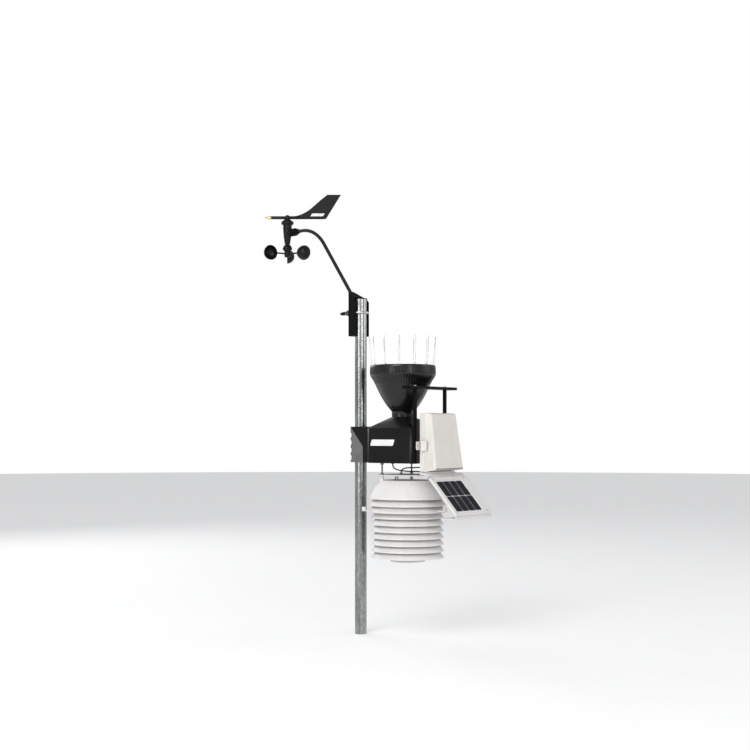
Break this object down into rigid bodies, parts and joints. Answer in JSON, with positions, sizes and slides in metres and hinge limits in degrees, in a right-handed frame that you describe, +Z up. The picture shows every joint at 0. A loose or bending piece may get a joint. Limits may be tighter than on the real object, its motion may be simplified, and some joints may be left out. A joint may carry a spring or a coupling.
{
  "type": "home weather station",
  "caption": "Mast-mounted weather station with wind vane and cups, rain collector, electronics housing, tilting solar panel and fan-aspirated radiation shield.",
  "frame": {"origin": "centre of the mast's lower end face", "axes": "+Z up along the mast; -Y is the front, where the housing and the solar panel face; +X is to the right seen from the front"},
  "size_m": [0.2542, 0.7465, 1.225],
  "materials": {
    "galvanised": "galvanised, dull",
    "zinc": "zinc plated",
    "steel": "bright",
    "grey_metal": "satin",
    "black_plastic": "satin moulded",
    "black_tube": "gloss",
    "brown_plastic": "matt",
    "ivory_plastic": "fine texture",
    "white_plastic": "satin",
    "solar_glass": "gloss",
    "brass": "polished",
    "sensor_glass": "clear",
    "board_green": "solder mask",
    "battery_sleeve": "sleeve",
    "cable_black": "matt"
  },
  "bodies": {
    "station": {"mast_pole": "galvanised", "ubolts": "zinc", "ubolt_nuts": "zinc", "anemometer_mount": "black_plastic", "anemometer_arm": "black_tube", "arm_collar": "black_plastic", "sensor_head": "black_plastic", "vane_potentiometer": "grey_metal", "cup_bearings": "steel", "cup_reed_switch": "sensor_glass", "collector_base": "black_plastic", "base_floor": "black_plastic", "bucket_frame": "black_plastic", "bucket_pivot_pin": "steel", "bucket_reed_switch": "sensor_glass", "bucket_stop_screws": "brass", "pole_bracket": "black_plastic", "bracket_side_plates": "grey_metal", "sensor_shelf": "black_plastic", "shelf_posts": "black_plastic", "shelf_screws": "steel", "front_plate": "brown_plastic", "housing_backplate": "ivory_plastic", "hinge_pins": "steel", "circuit_board": "board_green", "battery_holder": "black_plastic", "battery": "battery_sleeve", "panel_bracket": "white_plastic", "shield_dome": "white_plastic", "shield_upper_plate": "white_plastic", "shield_lug_plate": "white_plastic", "shield_plates": "white_plastic", "shield_rods": "steel", "shield_standoffs": "white_plastic", "shield_rod_nuts": "steel", "shield_top_plate": "white_plastic", "fan_housing": "white_plastic", "fan_motor": "grey_metal", "temp_humidity_sensor": "white_plastic", "panel_lead": "cable_black", "fan_lead": "cable_black"},
    "vane": {"wind_vane": "black_plastic", "vane_tip": "brass", "vane_shaft": "steel", "vane_set_screw": "steel"},
    "cup_rotor": {"wind_cups": "black_plastic", "cup_shaft": "steel", "cup_magnet": "grey_metal"},
    "collector_cone": {"rain_funnel": "black_plastic", "debris_screen": "black_plastic", "bird_spikes": "steel"},
    "bucket": {"tipping_bucket": "white_plastic", "bucket_magnet": "grey_metal"},
    "cover": {"housing_cover": "ivory_plastic"},
    "latch": {"cover_latch": "white_plastic"},
    "panel": {"panel_tray": "white_plastic", "panel_frame": "white_plastic", "solar_cells": "solar_glass", "panel_screws": "steel"},
    "impeller": {"fan_impeller": "black_plastic"}
  },
  "joints": [
    {"name": "vane_turn", "type": "hinge", "parent": "station", "child": "vane", "pos_m": [0.04453, 0.31689, 1.14], "axis": [0, 0, 1], "continuous": true},
    {"name": "cups_turn", "type": "hinge", "parent": "station", "child": "cup_rotor", "pos_m": [0.04453, 0.31689, 1.055], "axis": [0, 0, 1], "continuous": true},
    {"name": "cone_lift", "type": "slide", "parent": "station", "child": "collector_cone", "axis": [0, 0, 1], "range_m": [0, 0.06]},
    {"name": "bucket_tip", "type": "hinge", "parent": "station", "child": "bucket", "pos_m": [0, -0.145, 0.502], "axis": [0, -1, 0], "range_deg": [0, 24]},
    {"name": "cover_swing", "type": "hinge", "parent": "station", "child": "cover", "pos_m": [0.0625, -0.262, 0.515], "axis": [0, 0, 1], "range_deg": [0, 105]},
    {"name": "latch_flip", "type": "hinge", "parent": "station", "child": "latch", "pos_m": [-0.0612, -0.255, 0.507], "axis": [0, 0, -1], "range_deg": [0, 90]},
    {"name": "panel_tilt", "type": "hinge", "parent": "station", "child": "panel", "pos_m": [0, -0.283, 0.4315], "axis": [-1, 0, 0], "range_deg": [-8, 25]},
    {"name": "fan_turn", "type": "hinge", "parent": "station", "child": "impeller", "pos_m": [0, -0.161, 0.227], "axis": [0, 0, 1], "continuous": true}
  ]
}
